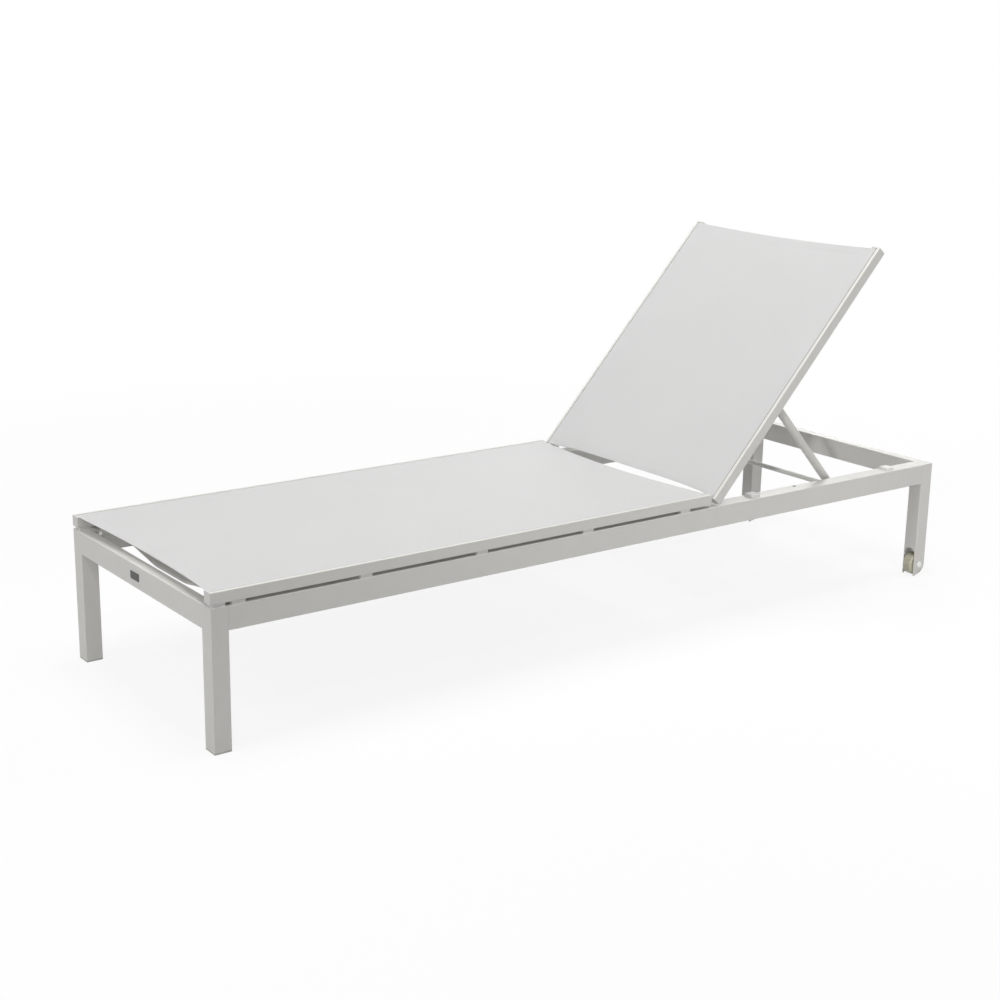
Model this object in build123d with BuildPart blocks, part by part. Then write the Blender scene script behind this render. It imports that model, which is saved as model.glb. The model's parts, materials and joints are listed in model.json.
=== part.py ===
from build123d import *

import os
from math import cos, radians, sin

# Sun lounger, in millimetres. X runs from the foot end to the head end, Y runs across and Z up.
# The origin lies on the floor, under the middle of the whole length and width.
# Left is the side at minus Y. Distances along the lounger are counted from the foot face.

# Base frame
base_width = 640.0
rail_top = 298.0
leg_side = 38.0
rail_height = 50.0
rail_width = 40.0
end_rail_width = 26.0
tube_wall = 2.0
tube_corner = 1.5
cap_flange = 2.5
cap_edge_share = 0.2
plug_depth = 14.0
plug_clearance = 0.2
glide_height = 4.0
glide_edge_share = 0.25

# Badge plate, blank
badge_width = 38.0
badge_height = 16.5
badge_thickness = 1.2
badge_corner = 1.5
badge_aside = 12.0

# Wheels in the head legs
wheel_radius = 28.5
wheel_width = 27.0
wheel_edge = 5.0
wheel_dish_depth = 3.0
wheel_rim = 11.0
hub_radius = 8.5
hub_clearance = 0.3
axle_radius = 4.0
running_clearance = 0.05
axle_head_radius = 8.0
axle_head_height = 2.6
slot_width = 32.0
slot_top = 73.5
leg_floor_gap = 1.0
heel_start = 4.0
heel_knee_inset = 7.0
heel_knee_height = 16.0
heel_height = 27.0

# Slotted side rails of the seat and the back
deck_gap = 6.5
deck_rail_width = 25.0
deck_rail_height = 24.5
deck_corner = 1.6
deck_wall = 2.0
chamber_height = 9.0
lip_width = 8.0
ledge_drop = 1.5
slot_opening = 3.5
channel_radius = 4.0
channel_roof = 2.2
end_cap_flange = 3.0
end_cap_corner = 2.5
end_plug_width = 12.0
end_plug_depth = 12.0

# Seat and back
seat_length = 1279.0
hinge_run = 26.0
hinge_height = 10.5
back_overhang = 10.0
back_length = 742.0
back_angle = 47.5
head_margin = 13.0

# Bowed cross bars: two slopes and a level middle
bar_radius = 11.0
bar_wall = 1.5
bar_sag = 37.5
bar_height = 8.0
bar_level_share = 0.225
bar_bend = 120.0
seat_foot_bar_place = 78.0
seat_middle_bar_share = 0.46
seat_head_bar_inset = 129.0
back_lower_bar_place = 48.0
back_top_bar_inset = 40.0

# Slings
sling_thickness = 1.2
sling_sag = 3.0
foot_dip = 14.0
sling_dip = 6.0
sling_gap = 1.0
seat_sling_end_inset = 7.0
back_sling_start = 5.0
keder_radius = 2.75

# Pads between the rails
pad_count = 5
pad_length = 30.0
pad_width = 23.0
pad_corner = 3.0
pad_side_inset = 2.0
pad_first = 62.0
pad_last_inset = 77.0
leg_pad_length = 30.0
rest_pad_side = 28.0
rest_pad_first_run = 127.0
rest_pad_last_inset = 137.0
rest_pad_side_inset = 9.0
rest_pad_clearance = 0.3
rest_pad_edge = 1.2

# Bolts that hold the seat on the base
deck_bolt_radius = 3.0
deck_bolt_head_radius = 6.0
deck_bolt_head_height = 3.0
deck_bolt_depth = 8.0

# Hexagon sockets in the screw and bolt heads
socket_sides = 6
socket_share = 0.5
socket_depth_share = 0.6

# Hinge
plate_thickness = 4.0
plate_half_height = 9.2
plate_length = 116.0
plate_screw_radius = 2.5
plate_screw_head_radius = 4.5
plate_screw_head_height = 2.5
plate_screw_depth = 4.0
plate_screw_inset = 16.0
plate_screw_pitch = 36.0
hinge_bolt_radius = 4.0
hinge_bolt_head_radius = 7.0
hinge_bolt_head_height = 4.0
bush_wall = 2.0
bush_length = 8.0

# Prop
prop_reach = 291.0
prop_drop = 4.0
strut_radius = 10.0
strut_wall = 1.5
strut_angle = 47.4
strut_inset = 60.0
strut_tail = 9.0
strut_head = 8.0
strut_cap_flange = 2.0
strut_plug_depth = 2.5
rod_radius = 6.0
rod_drop = 27.0
rod_end_clearance = 1.0
strut_turn_share = 0.83
prop_bolt_radius = 4.0
prop_bolt_head_radius = 7.0
prop_bolt_head_height = 4.5
prop_spacer_wall = 3.5
prop_side_clearance = 0.3

# Racks for the prop rod
rack_thickness = 8.0
rack_foot_gap = 0.6
rack_horn_width = 14.0
rack_horn_rise = 14.0
rack_head_run = 22.0
rack_head_fall = 4.0
rack_inset = 1.0
tooth_clearance = 0.6
notch_depth = 4.0
rack_screw_radius = 2.5
rack_screw_head_radius = 4.0
rack_screw_head_height = 2.5
rack_screw_depth = 3.0
rack_screw_rise = 5.0
back_angles = (20.0, 34.0, 47.5, 57.0, 65.0)

# Small screws and plugs of the side rails
end_screw_radius = 2.0
end_screw_head_radius = 3.5
end_screw_head_height = 2.0
end_screw_depth = 5.0
end_screw_inset = 6.0
end_screw_below = 9.0
rail_plug_radius = 4.0
rail_plug_rise = 1.2
rail_plug_stem_radius = 2.5
rail_plug_inset = 8.0

overrun = 5.0

# Derived sizes
half_width = base_width / 2
hinge_distance = seat_length + hinge_run
back_end = back_length - back_overhang
base_length = hinge_distance + back_end + head_margin
wheel_bulge = wheel_radius - leg_side / 2
overall_length = badge_thickness + base_length + wheel_bulge
foot_x = badge_thickness - overall_length / 2
wheel_distance = base_length - leg_side / 2
leg_middle = half_width - leg_side / 2
rail_middle = half_width - rail_width / 2
rail_inner = half_width - rail_width
rail_length = base_length - 2 * leg_side
rail_bottom = rail_top - rail_height
rail_centre_height = rail_top - rail_height / 2
deck_inner = half_width - deck_rail_width
deck_middle = half_width - deck_rail_width / 2
seat_bottom = rail_top + deck_gap
hinge_z = seat_bottom + hinge_height
strut_middle = half_width - strut_inset
strut_outer = strut_middle + strut_radius
strut_inner = strut_middle - strut_radius
slot_middle = half_width - lip_width - slot_opening / 2
channel_height = deck_rail_height - channel_roof - channel_radius
ledge_height = deck_rail_height - ledge_drop
pad_pitch = (seat_length - pad_first - pad_last_inset) / (pad_count - 1)
pad_places = [pad_first + index * pad_pitch for index in range(pad_count)]
bolt_places = pad_places[::2]
bush_radius = hinge_bolt_radius + running_clearance + bush_wall
plate_foot = hinge_distance + plate_half_height - plate_length
plate_screw_places = (
    plate_foot + plate_screw_inset,
    plate_foot + plate_screw_inset + plate_screw_pitch,
)
rod_height = rail_top - rod_drop
rack_outer = rail_inner
rack_inner = rack_outer - rack_thickness
rack_lower_edge = rail_bottom + rack_inset
rack_screw_height = rack_lower_edge + rack_screw_rise
seat_middle_bar_place = seat_middle_bar_share * seat_length
rest_pad_places = [hinge_distance + rest_pad_first_run, hinge_distance + back_end - rest_pad_last_inset]

sides = {"left": -1, "right": 1}

os.makedirs("parts", exist_ok=True)


# Planes and helpers

def deck(distance, height, angle=0.0):
    """A lengthwise plane that starts at a distance from the foot and slopes up by an angle."""
    along = (cos(radians(angle)), 0, sin(radians(angle)))
    normal = (-sin(radians(angle)), 0, cos(radians(angle)))
    return Plane(origin=(foot_x + distance, 0, height), x_dir=along, z_dir=normal)


def across(lengthwise, place):
    """The cross-section plane of a deck: its X is the deck's Y and its Y the deck's Z."""
    start = lengthwise.from_local_coords((place, 0, 0))
    return Plane(origin=start, x_dir=lengthwise.y_dir, z_dir=lengthwise.x_dir)


def flank(lengthwise, side, inner, outer):
    """The side-view plane that a piece from inner to outer, on one side, is extruded from."""
    start = lengthwise.from_local_coords((0, max(side * inner, side * outer), 0))
    return Plane(origin=start, x_dir=lengthwise.x_dir, z_dir=-lengthwise.y_dir)


def keep(builder, name):
    """Labels a finished piece and writes it."""
    builder.part.label = name
    export_step(builder.part, f"parts/{name}.step")


def round_bar(lengthwise, side, inner, outer, place, radius, mode=Mode.ADD):
    """A cylinder that lies across the lounger, from inner to outer on one side."""
    centre = lengthwise.from_local_coords((place[0], side * (inner + outer) / 2, place[1]))
    with Locations(Plane(origin=centre, x_dir=lengthwise.x_dir, z_dir=lengthwise.y_dir)):
        Cylinder(radius, outer - inner, mode=mode)


ground = deck(0, 0)
seat_deck = deck(0, seat_bottom)
hinge_axis = deck(hinge_distance, hinge_z, back_angle)
back_start = hinge_axis.from_local_coords((0, 0, -hinge_height))
back_deck = deck(back_start.X - foot_x, back_start.Z, back_angle)

# Prop geometry: the rod's route over the racks as the back turns

prop_axis = back_deck.from_local_coords((prop_reach, 0, hinge_height - prop_drop))
strut_length = (prop_axis.Z - rod_height) / sin(radians(strut_angle))
strut_deck = Plane(
    origin=prop_axis,
    x_dir=(cos(radians(strut_angle)), 0, -sin(radians(strut_angle))),
    z_dir=(sin(radians(strut_angle)), 0, cos(radians(strut_angle))),
)


def rod_place(angle):
    """Distance from the foot and height of the rod's axis with the back at an angle."""
    lean = radians(angle)
    slope = radians(strut_angle + strut_turn_share * (angle - back_angle))
    distance = hinge_distance + prop_reach * cos(lean) + prop_drop * sin(lean) + strut_length * cos(slope)
    height = hinge_z + prop_reach * sin(lean) - prop_drop * cos(lean) - strut_length * sin(slope)
    return distance, height


rest_points = [rod_place(angle) for angle in sorted(back_angles, reverse=True)]
rack_screw_places = [
    (before[0] + after[0]) / 2 for before, after in zip(rest_points, rest_points[1:])
]
rack_stop = rest_points[0][0] - rod_radius - rack_foot_gap
rack_foot = rack_stop - rack_horn_width
rack_head = rest_points[-1][0] + rack_head_run
rail_plug_place = (rack_foot + rack_stop) / 2


# Base frame

def hollow_section(wide, high):
    """A rectangular tube's section, in the sketch that calls it."""
    RectangleRounded(wide, high, tube_corner)
    Rectangle(wide - 2 * tube_wall, high - 2 * tube_wall, mode=Mode.SUBTRACT)


for side_name, side in sides.items():
    with BuildPart() as foot_leg:
        with BuildSketch(ground.offset(glide_height)):
            with Locations((leg_side / 2, side * leg_middle)):
                hollow_section(leg_side, leg_side)
        extrude(amount=rail_top - cap_flange - glide_height)
    keep(foot_leg, f"foot_leg_{side_name}")

    with BuildPart() as head_leg:
        with BuildSketch(ground.offset(leg_floor_gap)):
            with Locations((wheel_distance, side * leg_middle)):
                hollow_section(leg_side, leg_side)
        extrude(amount=rail_top - cap_flange - leg_floor_gap)
        # arched slot through the foot side and the head side, open at the floor
        with BuildSketch(across(ground, base_length - leg_side - overrun)):
            with Locations((side * leg_middle, slot_top - slot_width / 2)):
                Circle(slot_width / 2)
            with Locations((side * leg_middle, (slot_top - slot_width / 2) / 2)):
                Rectangle(slot_width, slot_top - slot_width / 2)
        extrude(amount=leg_side + 2 * overrun, mode=Mode.SUBTRACT)
        # slanted heel, so that the lounger can be tipped onto its wheels
        with BuildSketch(flank(ground, side, leg_middle - leg_side, leg_middle + leg_side)):
            with BuildLine():
                Polyline(
                    (base_length - leg_side + heel_start, leg_floor_gap),
                    (base_length - heel_knee_inset, leg_floor_gap + heel_knee_height),
                    (base_length, leg_floor_gap + heel_height),
                    (base_length + overrun, leg_floor_gap + heel_height),
                    (base_length + overrun, leg_floor_gap - overrun),
                    (base_length - leg_side + heel_start, leg_floor_gap - overrun),
                    close=True,
                )
            make_face()
        extrude(amount=2 * leg_side, mode=Mode.SUBTRACT)
        round_bar(
            ground, side, leg_middle - leg_side, leg_middle + leg_side,
            (wheel_distance, wheel_radius), axle_radius, Mode.SUBTRACT,
        )
    keep(head_leg, f"head_leg_{side_name}")

    with BuildPart() as side_rail:
        with BuildSketch(across(ground, leg_side)):
            with Locations((side * rail_middle, rail_centre_height)):
                hollow_section(rail_width, rail_height)
        extrude(amount=rail_length)
        with BuildSketch(ground.offset(rail_bottom)):
            with Locations([(place, side * deck_middle) for place in bolt_places]):
                Circle(deck_bolt_radius)
        extrude(amount=rail_height, mode=Mode.SUBTRACT)
        with BuildSketch(flank(ground, side, rail_inner, rail_inner + tube_wall)):
            with Locations([
                (leg_side + end_screw_inset, rail_top - end_screw_below),
                (base_length - leg_side - end_screw_inset, rail_top - end_screw_below),
            ]):
                Circle(end_screw_radius)
            with Locations([(place, rack_screw_height) for place in rack_screw_places]):
                Circle(rack_screw_radius)
        extrude(amount=tube_wall, mode=Mode.SUBTRACT)
        with BuildSketch(ground.offset(rail_top - tube_wall)):
            with Locations((rail_plug_place, side * (rail_inner + rail_plug_inset))):
                Circle(rail_plug_stem_radius)
        extrude(amount=tube_wall, mode=Mode.SUBTRACT)
    keep(side_rail, f"side_rail_{side_name}")

end_rail_span = base_width - 2 * leg_side
for end_name, middle in (
    ("foot", end_rail_width / 2),
    ("head", base_length - end_rail_width / 2),
):
    with BuildPart() as end_rail:
        with BuildSketch(flank(ground, 1, 0, end_rail_span / 2)):
            with Locations((middle, rail_centre_height)):
                hollow_section(end_rail_width, rail_height)
        extrude(amount=end_rail_span)
    keep(end_rail, f"{end_name}_rail")

leg_places = [
    (middle, side * leg_middle)
    for middle in (leg_side / 2, wheel_distance)
    for side in sides.values()
]
plug_side = leg_side - 2 * tube_wall - 2 * plug_clearance

with BuildPart() as leg_caps:
    with BuildSketch(ground.offset(rail_top - cap_flange)):
        with Locations(leg_places):
            RectangleRounded(leg_side, leg_side, tube_corner)
    extrude(amount=cap_flange)
    chamfer(leg_caps.faces().filter_by(Plane.XY).group_by(Axis.Z)[-1].edges(), cap_edge_share * cap_flange)
    with BuildSketch(ground.offset(rail_top - cap_flange - plug_depth)):
        with Locations(leg_places):
            Rectangle(plug_side, plug_side)
    extrude(amount=plug_depth)
keep(leg_caps, "leg_caps")

with BuildPart() as foot_glides:
    with BuildSketch(ground):
        with Locations(leg_places[:2]):
            RectangleRounded(leg_side, leg_side, tube_corner)
    extrude(amount=glide_height)
    chamfer(foot_glides.faces().filter_by(Plane.XY).group_by(Axis.Z)[0].edges(), glide_edge_share * glide_height)
    with BuildSketch(ground.offset(glide_height)):
        with Locations(leg_places[:2]):
            Rectangle(plug_side, plug_side)
    extrude(amount=plug_depth)
keep(foot_glides, "foot_glides")

with BuildPart() as badge_plate:
    with BuildSketch(across(ground, -badge_thickness)):
        with Locations((badge_aside, rail_centre_height)):
            RectangleRounded(badge_width, badge_height, badge_corner)
    extrude(amount=badge_thickness)
keep(badge_plate, "badge_plate")


# Wheels and axles

for side_name, side in sides.items():
    half_hub = leg_side / 2 - tube_wall - hub_clearance
    half_wheel = wheel_width / 2
    bore = axle_radius + running_clearance
    wheel_centre = (foot_x + wheel_distance, side * leg_middle, wheel_radius)
    wheel_plane = Plane(origin=wheel_centre, x_dir=(0, 1, 0), z_dir=(1, 0, 0))
    with BuildPart() as wheel:
        with BuildSketch(wheel_plane):
            with BuildLine():
                Polyline(
                    (-half_hub, bore),
                    (-half_hub, hub_radius),
                    (-half_wheel + wheel_dish_depth, hub_radius),
                    (-half_wheel + wheel_dish_depth, wheel_radius - wheel_rim),
                    (-half_wheel, wheel_radius - wheel_rim),
                    (-half_wheel, wheel_radius),
                    (half_wheel, wheel_radius),
                    (half_wheel, wheel_radius - wheel_rim),
                    (half_wheel - wheel_dish_depth, wheel_radius - wheel_rim),
                    (half_wheel - wheel_dish_depth, hub_radius),
                    (half_hub, hub_radius),
                    (half_hub, bore),
                    close=True,
                )
            make_face()
        revolve(axis=Axis(wheel_centre, (0, 1, 0)))
        treads = wheel.edges().filter_by(GeomType.CIRCLE).group_by(SortBy.RADIUS)[-1].sort_by(Axis.Y)
        fillet([treads[0], treads[-1]], wheel_edge)
    keep(wheel, f"wheel_{side_name}")

    with BuildPart() as axle:
        round_bar(
            ground, side, leg_middle - leg_side / 2, half_width,
            (wheel_distance, wheel_radius), axle_radius,
        )
        round_bar(
            ground, side, half_width, half_width + axle_head_height,
            (wheel_distance, wheel_radius), axle_head_radius,
        )
        round_bar(
            ground, side, leg_middle - leg_side / 2 - axle_head_height, leg_middle - leg_side / 2,
            (wheel_distance, wheel_radius), axle_head_radius,
        )
        rims = axle.edges().filter_by(GeomType.CIRCLE).sort_by(Axis.Y)
        chamfer([rims[0], rims[-1]], axle_head_height / 2)
    keep(axle, f"wheel_axle_{side_name}")


# Slotted rails, their plugs, keders and slings

def slotted_section(side):
    """Section of a slotted rail: a lip outside, a lower ledge inside and a round channel."""
    with Locations((side * deck_middle, deck_rail_height / 2)):
        RectangleRounded(deck_rail_width, deck_rail_height, deck_corner)
    ledge_width = deck_rail_width - lip_width - slot_opening
    with Locations((side * (deck_inner + ledge_width / 2), ledge_height + overrun / 2)):
        Rectangle(ledge_width, overrun, mode=Mode.SUBTRACT)
    with Locations((side * slot_middle, channel_height + overrun)):
        Rectangle(slot_opening, 2 * overrun, mode=Mode.SUBTRACT)
    with Locations((side * slot_middle, channel_height)):
        Circle(channel_radius, mode=Mode.SUBTRACT)
    with Locations((side * deck_middle, deck_wall + chamber_height / 2)):
        Rectangle(deck_rail_width - 2 * deck_wall, chamber_height, mode=Mode.SUBTRACT)


def sling_outline():
    """Outline of a sling's section, in a deck's Y and Z, with both edges down in the channels."""
    edge = slot_middle + sling_thickness / 2
    inner_edge = slot_middle - sling_thickness / 2
    top = ledge_height + sling_thickness
    foot = channel_height + keder_radius
    Polyline((-deck_inner, top), (-edge, top), (-edge, foot), (-inner_edge, foot),
             (-inner_edge, ledge_height), (-deck_inner, ledge_height))
    ThreePointArc((-deck_inner, ledge_height), (0, ledge_height - sling_sag), (deck_inner, ledge_height))
    Polyline((deck_inner, ledge_height), (inner_edge, ledge_height), (inner_edge, foot),
             (edge, foot), (edge, top), (deck_inner, top))
    ThreePointArc((deck_inner, top), (0, top - sling_sag), (-deck_inner, top))


def bar_points():
    """Route of a bowed cross bar, in a deck's Y and Z, a little longer than the bar."""
    level = bar_level_share * deck_inner
    reach = deck_inner + overrun
    end_height = bar_height + bar_sag * overrun / (deck_inner - level)
    low = bar_height - bar_sag
    return (-reach, end_height), (-level, low), (level, low), (reach, end_height)


for side_name, side in sides.items():
    with BuildPart() as seat_rail:
        with BuildSketch(across(seat_deck, end_cap_flange)):
            slotted_section(side)
        extrude(amount=seat_length - 2 * end_cap_flange)
        with BuildSketch(seat_deck):
            with Locations([(place, side * deck_middle) for place in bolt_places]):
                Circle(deck_bolt_radius)
        extrude(amount=deck_wall, mode=Mode.SUBTRACT)
        for place in plate_screw_places:
            round_bar(
                seat_deck, side, deck_inner, deck_inner + plate_screw_depth,
                (place, hinge_height), plate_screw_radius, Mode.SUBTRACT,
            )
    keep(seat_rail, f"seat_rail_{side_name}")

    with BuildPart() as back_rail:
        with BuildSketch(across(back_deck, end_cap_flange - back_overhang)):
            slotted_section(side)
        extrude(amount=back_length - 2 * end_cap_flange)
        round_bar(
            back_deck, side, deck_inner, deck_inner + bush_length,
            (0, hinge_height), bush_radius, Mode.SUBTRACT,
        )
        round_bar(
            back_deck, side, deck_inner, deck_inner + deck_wall,
            (prop_reach, hinge_height - prop_drop), prop_bolt_radius, Mode.SUBTRACT,
        )
    keep(back_rail, f"back_rail_{side_name}")

plug_place = half_width - deck_wall - plug_clearance - end_plug_width / 2
deck_ends = {
    "seat": (seat_deck, 0, seat_length),
    "back": (back_deck, -back_overhang, back_end),
}
for deck_name, (lengthwise, start, end) in deck_ends.items():
    with BuildPart() as end_caps:
        with BuildSketch(across(lengthwise, start), across(lengthwise, end - end_cap_flange)):
            with Locations([(side * deck_middle, deck_rail_height / 2) for side in sides.values()]):
                RectangleRounded(deck_rail_width, deck_rail_height, end_cap_corner)
        extrude(amount=end_cap_flange)
        with BuildSketch(
            across(lengthwise, start + end_cap_flange),
            across(lengthwise, end - end_cap_flange - end_plug_depth),
        ):
            with Locations([
                (side * plug_place, deck_wall + chamber_height / 2) for side in sides.values()
            ]):
                Rectangle(end_plug_width, chamber_height - 2 * plug_clearance)
        extrude(amount=end_plug_depth)
    keep(end_caps, f"{deck_name}_end_caps")

sling_ends = {
    "seat": (
        seat_deck, end_cap_flange + sling_gap, seat_length - seat_sling_end_inset,
        foot_dip, sling_dip,
    ),
    "back": (
        back_deck, back_sling_start, back_end - end_cap_flange - sling_gap,
        sling_dip, sling_dip,
    ),
}
for deck_name, (lengthwise, start, end, start_dip, end_dip) in sling_ends.items():
    with BuildPart() as keders:
        with BuildSketch(across(lengthwise, start)):
            with Locations([(side * slot_middle, channel_height) for side in sides.values()]):
                Circle(keder_radius)
        extrude(amount=end - start)
    keep(keders, f"{deck_name}_keders")

    with BuildPart() as sling:
        with BuildSketch(across(lengthwise, start)):
            with BuildLine():
                sling_outline()
            make_face()
        extrude(amount=end - start)
        # both ends dip between the rails
        with BuildSketch(lengthwise):
            with BuildLine():
                Line((start, -deck_inner), (start, deck_inner))
                ThreePointArc((start, deck_inner), (start + start_dip, 0), (start, -deck_inner))
            make_face()
            with BuildLine():
                Line((end, -deck_inner), (end, deck_inner))
                ThreePointArc((end, deck_inner), (end - end_dip, 0), (end, -deck_inner))
            make_face()
        extrude(amount=deck_rail_height + overrun, mode=Mode.SUBTRACT)
    keep(sling, f"{deck_name}_sling")


# Bowed cross bars

for bar_name, lengthwise, place in (
    ("seat_foot_bar", seat_deck, seat_foot_bar_place),
    ("seat_middle_bar", seat_deck, seat_middle_bar_place),
    ("seat_head_bar", seat_deck, seat_length - seat_head_bar_inset),
    ("back_lower_bar", back_deck, back_lower_bar_place),
    ("back_top_bar", back_deck, back_end - back_top_bar_inset),
):
    with BuildPart() as bar:
        with BuildLine(across(lengthwise, place)):
            route = FilletPolyline(*bar_points(), radius=bar_bend)
        with BuildSketch(Plane(origin=route @ 0, z_dir=route % 0)):
            Circle(bar_radius)
            Circle(bar_radius - bar_wall, mode=Mode.SUBTRACT)
        sweep()
        for side in sides.values():
            face_place = lengthwise.from_local_coords((0, side * deck_inner, 0))
            split(bisect_by=Plane(origin=face_place, z_dir=(0, side, 0)), keep=Keep.BOTTOM)
    keep(bar, bar_name)


# Pads and the bolts through them

with BuildPart() as spacer_pads:
    with BuildSketch(ground.offset(rail_top)):
        pad_middle = half_width - pad_side_inset - pad_width / 2
        with Locations([(place, side * pad_middle) for place in pad_places for side in sides.values()]):
            RectangleRounded(pad_length, pad_width, pad_corner)
        with Locations([(leg_side / 2, side * pad_middle) for side in sides.values()]):
            RectangleRounded(leg_pad_length, pad_width, pad_corner)
        with Locations([(place, side * deck_middle) for place in bolt_places for side in sides.values()]):
            Circle(deck_bolt_radius, mode=Mode.SUBTRACT)
    extrude(amount=deck_gap)
keep(spacer_pads, "spacer_pads")

with BuildPart() as rest_pads:
    with BuildSketch(ground.offset(rail_top)):
        rest_middle = half_width - rest_pad_side_inset - rest_pad_side / 2
        with Locations([
            (place, side * rest_middle)
            for place in rest_pad_places for side in sides.values()
        ]):
            RectangleRounded(rest_pad_side, rest_pad_side, pad_corner)
    extrude(amount=deck_gap - rest_pad_clearance)
    chamfer(rest_pads.faces().group_by(Axis.Z)[-1].edges(), rest_pad_edge)
keep(rest_pads, "rest_pads")

with BuildPart() as deck_bolts:
    with BuildSketch(ground.offset(rail_bottom - deck_bolt_head_height)):
        with Locations([(place, side * deck_middle) for place in bolt_places for side in sides.values()]):
            Circle(deck_bolt_head_radius)
    extrude(amount=deck_bolt_head_height)
    with BuildSketch(ground.offset(rail_bottom)):
        with Locations([(place, side * deck_middle) for place in bolt_places for side in sides.values()]):
            Circle(deck_bolt_radius)
    extrude(amount=rail_height + deck_gap + deck_bolt_depth)
    with BuildSketch(ground.offset(rail_bottom - deck_bolt_head_height)):
        with Locations([(place, side * deck_middle) for place in bolt_places for side in sides.values()]):
            RegularPolygon(socket_share * deck_bolt_head_radius, socket_sides)
    extrude(amount=socket_depth_share * deck_bolt_head_height, mode=Mode.SUBTRACT)
keep(deck_bolts, "deck_bolts")


# Hinge between the seat and the back

plate_face = deck_inner - plate_thickness
for side_name, side in sides.items():
    with BuildPart() as hinge_plate:
        with BuildSketch(flank(seat_deck, side, plate_face, deck_inner)):
            with Locations(((plate_foot + hinge_distance) / 2, hinge_height)):
                Rectangle(hinge_distance - plate_foot, 2 * plate_half_height)
            with Locations((hinge_distance, hinge_height)):
                Circle(plate_half_height)
                Circle(hinge_bolt_radius, mode=Mode.SUBTRACT)
            with Locations([(place, hinge_height) for place in plate_screw_places]):
                Circle(plate_screw_radius, mode=Mode.SUBTRACT)
        extrude(amount=plate_thickness)
    keep(hinge_plate, f"hinge_plate_{side_name}")

with BuildPart() as hinge_plate_screws:
    for side in sides.values():
        for place in plate_screw_places:
            round_bar(
                seat_deck, side, plate_face - plate_screw_head_height, plate_face,
                (place, hinge_height), plate_screw_head_radius,
            )
            round_bar(
                seat_deck, side, plate_face, deck_inner + plate_screw_depth,
                (place, hinge_height), plate_screw_radius,
            )
        head_face = plate_face - plate_screw_head_height
        socket_depth = socket_depth_share * plate_screw_head_height
        with BuildSketch(flank(seat_deck, side, head_face, head_face + socket_depth)):
            with Locations([(place, hinge_height) for place in plate_screw_places]):
                RegularPolygon(socket_share * plate_screw_head_radius, socket_sides)
        extrude(amount=socket_depth, mode=Mode.SUBTRACT)
keep(hinge_plate_screws, "hinge_plate_screws")

with BuildPart() as hinge_bolts:
    for side in sides.values():
        round_bar(
            seat_deck, side, plate_face - hinge_bolt_head_height, plate_face,
            (hinge_distance, hinge_height), hinge_bolt_head_radius,
        )
        round_bar(
            seat_deck, side, plate_face, deck_inner + bush_length,
            (hinge_distance, hinge_height), hinge_bolt_radius,
        )
        head_face = plate_face - hinge_bolt_head_height
        socket_depth = socket_depth_share * hinge_bolt_head_height
        with BuildSketch(flank(seat_deck, side, head_face, head_face + socket_depth)):
            with Locations((hinge_distance, hinge_height)):
                RegularPolygon(socket_share * hinge_bolt_head_radius, socket_sides)
        extrude(amount=socket_depth, mode=Mode.SUBTRACT)
keep(hinge_bolts, "hinge_bolts")

with BuildPart() as hinge_bushes:
    for side in sides.values():
        round_bar(
            back_deck, side, deck_inner, deck_inner + bush_length,
            (0, hinge_height), bush_radius,
        )
        round_bar(
            back_deck, side, deck_inner, deck_inner + bush_length,
            (0, hinge_height), hinge_bolt_radius + running_clearance, Mode.SUBTRACT,
        )
keep(hinge_bushes, "hinge_bushes")


# Prop

prop_place = (prop_reach, hinge_height - prop_drop)
with BuildPart() as prop_bolts:
    for side in sides.values():
        head_seat = strut_inner - prop_side_clearance
        head_face = head_seat - prop_bolt_head_height
        socket_depth = socket_depth_share * prop_bolt_head_height
        round_bar(back_deck, side, head_face, head_seat, prop_place, prop_bolt_head_radius)
        round_bar(back_deck, side, head_seat, half_width - deck_wall, prop_place, prop_bolt_radius)
        with BuildSketch(flank(back_deck, side, head_face, head_face + socket_depth)):
            with Locations(prop_place):
                RegularPolygon(socket_share * prop_bolt_head_radius, socket_sides)
        extrude(amount=socket_depth, mode=Mode.SUBTRACT)
keep(prop_bolts, "prop_bolts")

with BuildPart() as prop_spacers:
    for side in sides.values():
        spacer_face = strut_outer + prop_side_clearance
        round_bar(
            back_deck, side, spacer_face, deck_inner,
            prop_place, prop_bolt_radius + prop_spacer_wall,
        )
        round_bar(
            back_deck, side, spacer_face, deck_inner,
            prop_place, prop_bolt_radius, Mode.SUBTRACT,
        )
keep(prop_spacers, "prop_spacers")

for side_name, side in sides.items():
    with BuildPart() as strut:
        with BuildSketch(across(strut_deck, -strut_head)):
            with Locations((side * strut_middle, 0)):
                Circle(strut_radius)
                Circle(strut_radius - strut_wall, mode=Mode.SUBTRACT)
        extrude(amount=strut_head + strut_length + strut_tail)
        round_bar(
            strut_deck, side, strut_inner - overrun, strut_outer + overrun,
            (0, 0), prop_bolt_radius + running_clearance, Mode.SUBTRACT,
        )
        round_bar(
            strut_deck, side, strut_inner - overrun, strut_outer + overrun,
            (strut_length, 0), rod_radius, Mode.SUBTRACT,
        )
    keep(strut, f"prop_strut_{side_name}")

with BuildPart() as prop_rod:
    round_bar(strut_deck, 1, rod_end_clearance - rail_inner, rail_inner - rod_end_clearance,
              (strut_length, 0), rod_radius)
keep(prop_rod, "prop_rod")

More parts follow.
